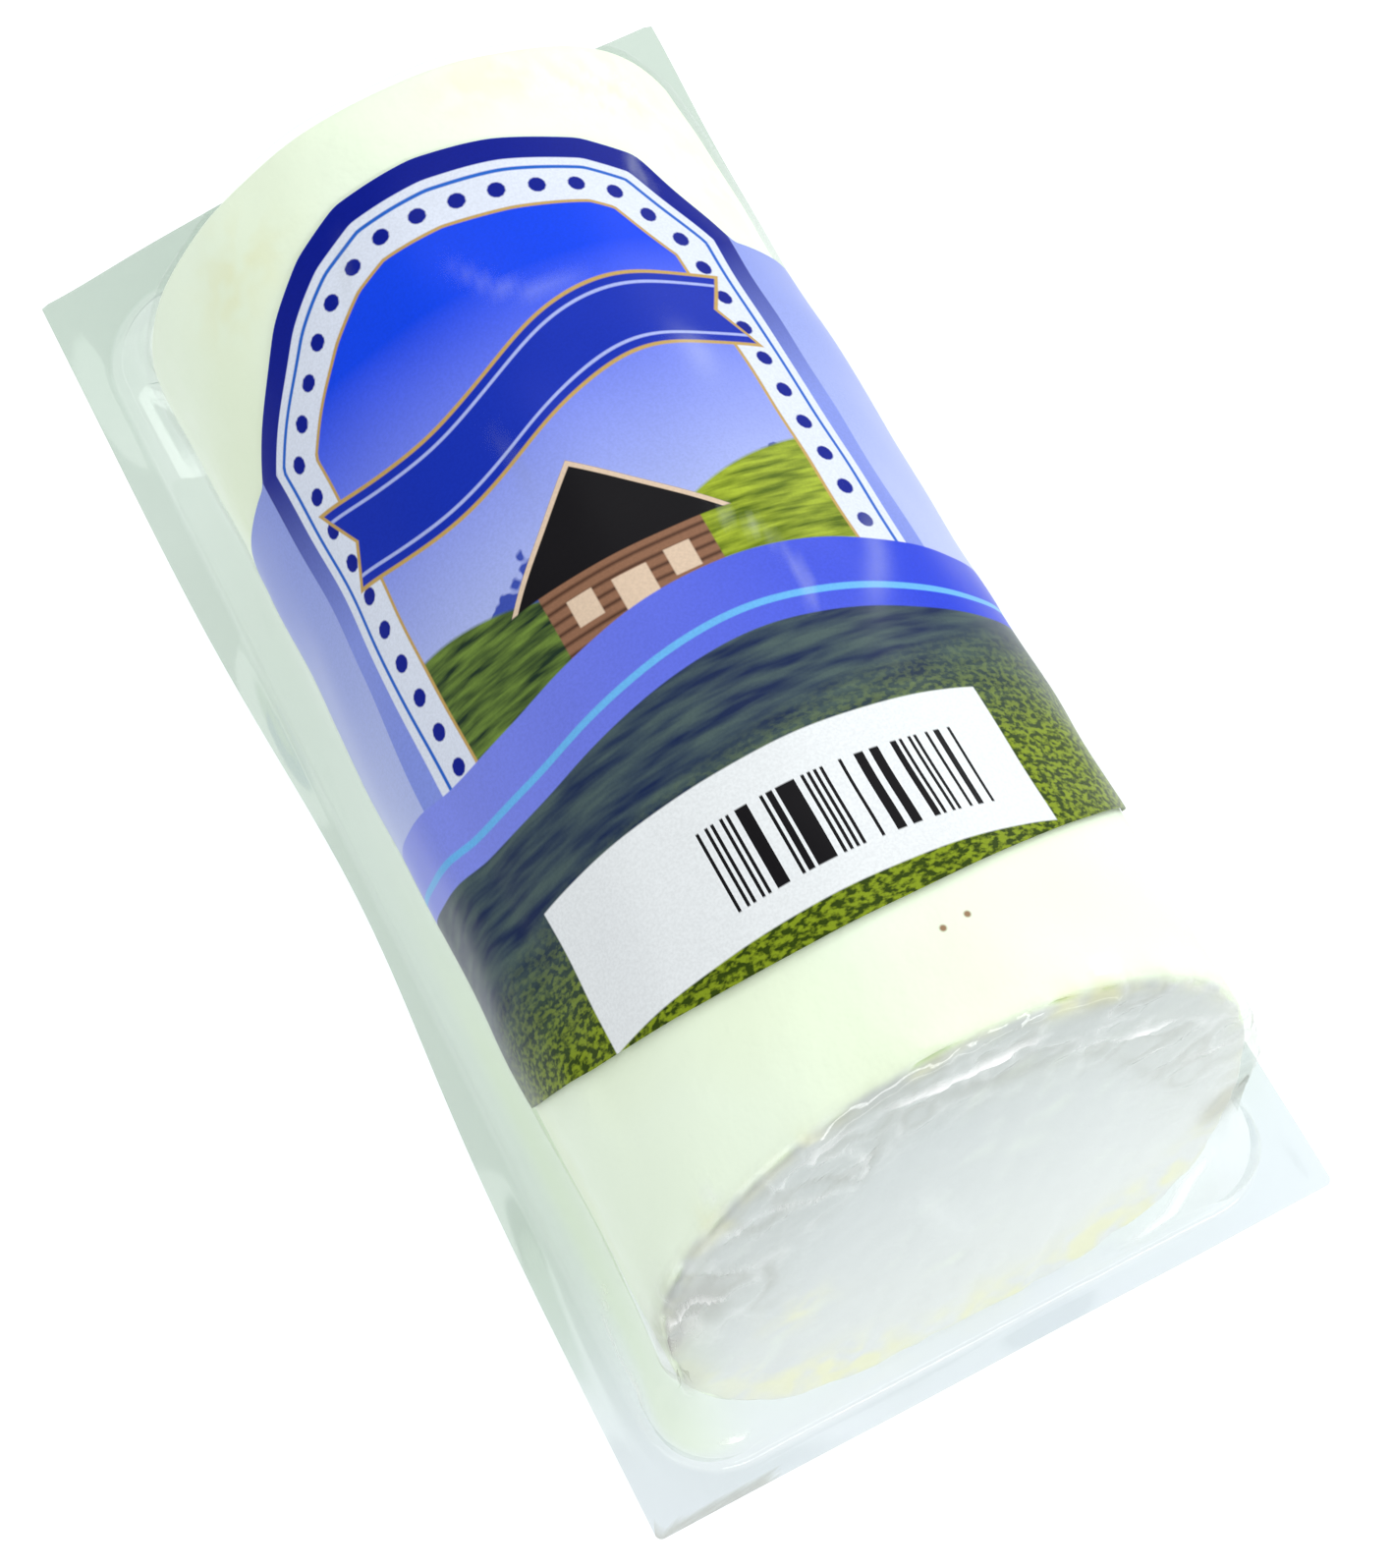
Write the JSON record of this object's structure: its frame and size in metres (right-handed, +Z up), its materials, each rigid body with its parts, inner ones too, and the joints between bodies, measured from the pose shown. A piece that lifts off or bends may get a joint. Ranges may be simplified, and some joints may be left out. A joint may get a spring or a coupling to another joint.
{
  "type": "vacuum-packed goat cheese log",
  "caption": "Thick round log of soft white goat cheese shut in a clear vacuum pack with a flat sealed margin, its top wrapped in an arched printed label.",
  "frame": {"origin": "centre of the pack's outline, on the surface that it rests on", "axes": "+Z up, +Y along the log towards its upright end, with the slanted end towards -Y, +X across the pack"},
  "size_m": [0.108, 0.212, 0.0827],
  "materials": {
    "film": "clear glossy food film, faintly milky, with creases",
    "label": "glossy printed sheet in blue, white and green",
    "cheese": "moist matte fresh cheese, ivory white"
  },
  "bodies": {
    "root": {"vacuum_pack": "film", "label": "label"}
  },
  "joints": []
}
